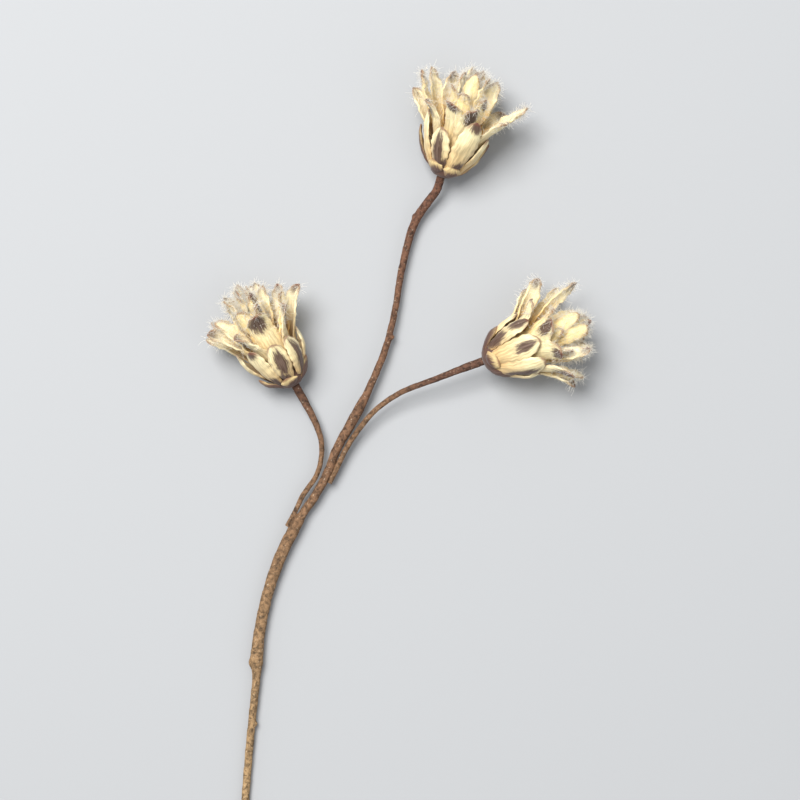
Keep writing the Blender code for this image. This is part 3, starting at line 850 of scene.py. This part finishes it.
def hair_tree():
    """Geometry Nodes that grow hairs on a mesh where its field "hairy" asks for them."""
    tree = bpy.data.node_groups.new("silky_hairs", "GeometryNodeTree")
    face = tree.interface
    face.new_socket("Geometry", in_out="INPUT", socket_type="NodeSocketGeometry")
    for name, kind, value in (
        ("Hairs per square metre", "NodeSocketFloat", 4.2e6),
        ("Hair length", "NodeSocketFloat", 3.5 * MM),
        ("Hair radius", "NodeSocketFloat", 0.075 * MM),
        ("Seed", "NodeSocketInt", 5),
    ):
        face.new_socket(name, in_out="INPUT", socket_type=kind).default_value = value
    face.new_socket("Material", in_out="INPUT", socket_type="NodeSocketMaterial")
    face.new_socket("Geometry", in_out="OUTPUT", socket_type="NodeSocketGeometry")
    given = add(tree, "NodeGroupInput").outputs
    hairy = add(tree, "GeometryNodeInputNamedAttribute", {"Name": "hairy"}, data_type="FLOAT").outputs[0]
    density = add(
        tree, "ShaderNodeMath", {0: hairy, 1: given["Hairs per square metre"]}, operation="MULTIPLY"
    ).outputs[0]
    roots = add(
        tree, "GeometryNodeDistributePointsOnFaces",
        {"Mesh": given["Geometry"], "Density": density, "Seed": given["Seed"]},
    )
    top = add(tree, "ShaderNodeCombineXYZ", {2: given["Hair length"]}).outputs[0]
    line = add(tree, "GeometryNodeCurvePrimitiveLine", {"End": top})
    jointed = add(tree, "GeometryNodeResampleCurve", {"Curve": line.outputs[0], "Count": 4})
    share = add(tree, "GeometryNodeSplineParameter").outputs["Factor"]
    sag = add(tree, "ShaderNodeMath", {0: share, 1: 2.0}, operation="POWER").outputs[0]
    droop = add(tree, "ShaderNodeMath", {0: sag, 1: given["Hair length"]}, operation="MULTIPLY").outputs[0]
    aside = add(tree, "ShaderNodeMath", {0: droop, 1: 0.75}, operation="MULTIPLY").outputs[0]
    offset = add(tree, "ShaderNodeCombineXYZ", {0: aside}).outputs[0]
    bent = add(tree, "GeometryNodeSetPosition", {"Geometry": jointed.outputs[0], "Offset": offset})
    taper = add(tree, "ShaderNodeMapRange", {"Value": share, 1: 0.0, 2: 1.0, 3: 1.0, 4: 0.6}).outputs[0]
    profile = add(tree, "GeometryNodeCurvePrimitiveCircle", {"Resolution": 3, "Radius": given["Hair radius"]})
    hair = add(
        tree, "GeometryNodeCurveToMesh",
        {"Curve": bent.outputs[0], "Profile Curve": profile.outputs[0], "Scale": taper, "Fill Caps": True},
    )
    lean = add(
        tree, "FunctionNodeRandomValue",
        {"Min": (-1.2, -1.2, 0.0), "Max": (1.2, 1.2, 6.28), "Seed": given["Seed"]}, data_type="FLOAT_VECTOR",
    ).outputs[0]
    leaning = add(
        tree, "FunctionNodeRotateRotation", {"Rotation": roots.outputs["Rotation"], "Rotate By": lean},
        rotation_space="LOCAL",
    )
    size = add(
        tree, "FunctionNodeRandomValue", {"Min": 0.5, "Max": 1.3, "Seed": given["Seed"]}, data_type="FLOAT"
    ).outputs[1]
    grown = add(
        tree, "GeometryNodeInstanceOnPoints",
        {
            "Points": roots.outputs["Points"], "Instance": hair.outputs[0],
            "Rotation": leaning.outputs[0], "Scale": size,
        },
    )
    real = add(tree, "GeometryNodeRealizeInstances", {"Geometry": grown.outputs[0]})
    coated = add(
        tree, "GeometryNodeSetMaterial", {"Geometry": real.outputs[0], "Material": given["Material"]}
    )
    out = add(tree, "NodeGroupOutput")
    tree.links.new(coated.outputs[0], out.inputs[0])
    return tree


# Dry silky hair: nearly white, soft and a little glossy, with uneven warm patches.
silk = bpy.data.materials.new("silky_hair")
silk.use_nodes = True
silk_shader = silk.node_tree.nodes["Principled BSDF"]
silk_shader.inputs["Roughness"].default_value = 0.5
silk_place = add(silk.node_tree, "ShaderNodeTexCoord").outputs["Object"]
silk_patches = add(
    silk.node_tree, "ShaderNodeTexNoise", {"Vector": silk_place, "Scale": 1 / (5 * MM)}
).outputs[0]
silk_tint = add(
    silk.node_tree, "ShaderNodeMix", {"Factor": silk_patches, 6: linear("#ffffff"), 7: linear("#fff8e6")},
    data_type="RGBA",
).outputs[2]
silk.node_tree.links.new(silk_tint, silk_shader.inputs["Base Color"])
# Light passes through a hair as much as it glances off it.
through = add(silk.node_tree, "ShaderNodeBsdfTranslucent", {"Color": silk_tint}).outputs[0]
both = add(silk.node_tree, "ShaderNodeMixShader", {0: 0.5, 1: silk_shader.outputs[0], 2: through}).outputs[0]
silk.node_tree.links.new(both, silk.node_tree.nodes["Material Output"].inputs["Surface"])

HAIR_TREE = hair_tree()
CLEAR = 6.0 * MM  # hairs grow only this far above the table
for side_name in HEADS:
    skins = [bpy.data.objects[f"{side_name}_{ring}"] for ring in WHORLS]
    skins += [bpy.data.objects[f"{side_name}_flared_{i + 1}"] for i in range(len(TIPS[side_name]["flared"]))]
    points, faces, hairy = [], [], []
    for skin in skins:
        mesh, first = skin.data, len(points)
        points += [tuple(v.co) for v in mesh.vertices]
        faces += [tuple(i + first for i in polygon.vertices) for polygon in mesh.polygons]
        fields = {}
        for key in ("margin", "reach"):
            fields[key] = np.zeros(len(mesh.vertices), np.float32)
            mesh.attributes[key].data.foreach_get("value", fields[key])
        wanted = np.clip((fields["reach"] - 0.45) * 2, 0, 1) * (0.15 + np.exp(-fields["margin"] / 0.7))
        high_enough = np.array([v.co.z > CLEAR for v in mesh.vertices])
        hairy += (wanted * high_enough * (0.3 if "flared" in skin.name else 1.0)).tolist()
    soil = bpy.data.meshes.new("hair_ground")
    soil.from_pydata(points, [], faces)
    soil.attributes.new("hairy", "FLOAT", "POINT").data.foreach_set("value", hairy)
    ground = bpy.data.objects.new(f"{side_name}_hairs", soil)
    bpy.context.scene.collection.objects.link(ground)
    fuzz = made_plain(ground, HAIR_TREE, {"Material": silk})
    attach(fuzz, "root")

# ============================================================ the table and the light
# A plain pale sweep under the spray, a soft box high at its upper left, a weak fill from the other
# side and a pale room around it.  The camera looks straight down.

FIELD = 440 * MM  # width of the table that the camera takes in
MIDDLE = Vector((0.2, 30.2, 18.0)) * MM
LENS = 90.0
SENSOR = 36.0
SWEEP = 4.0  # half the sweep's side, in metres

sweep_mesh = bpy.data.meshes.new("sweep")
corners = ((-SWEEP, -SWEEP), (SWEEP, -SWEEP), (SWEEP, SWEEP), (-SWEEP, SWEEP))
sweep_mesh.from_pydata([(x, y, 0.0) for x, y in corners], [], [(0, 1, 2, 3)])
sweep = bpy.data.objects.new("sweep", sweep_mesh)
bpy.context.scene.collection.objects.link(sweep)
# Matt pale grey card.
card = bpy.data.materials.new("matt_card")
card.use_nodes = True
card_shader = card.node_tree.nodes["Principled BSDF"]
card_shader.inputs["Base Color"].default_value = linear("#a3a4a5")
card_shader.inputs["Roughness"].default_value = 0.9
sweep_mesh.materials.append(card)

world = bpy.data.worlds.new("pale_room")
bpy.context.scene.world = world
world.use_nodes = True
world.node_tree.nodes["Background"].inputs["Color"].default_value = linear("#eff2f6")
world.node_tree.nodes["Background"].inputs["Strength"].default_value = 0.60

for name, place, size, power in (
    ("soft_box", (-0.75, 0.95, 2.2), 1.4, 102.0),
    ("fill_box", (0.9, -0.4, 1.0), 1.2, 3.0),
):
    lamp = bpy.data.lights.new(name, "AREA")
    lamp.size = size
    lamp.energy = power
    holder = bpy.data.objects.new(name, lamp)
    bpy.context.scene.collection.objects.link(holder)
    holder.location = place
    holder.rotation_euler = (-Vector(place)).to_track_quat("-Z", "Y").to_euler()

camera = bpy.data.cameras.new("camera")
camera.lens = LENS
camera.sensor_width = SENSOR
holder = bpy.data.objects.new("camera", camera)
bpy.context.scene.collection.objects.link(holder)
holder.location = MIDDLE + Vector((0, 0, FIELD * LENS / SENSOR))
bpy.context.scene.camera = holder
bpy.context.scene.view_settings.view_transform = "Standard"
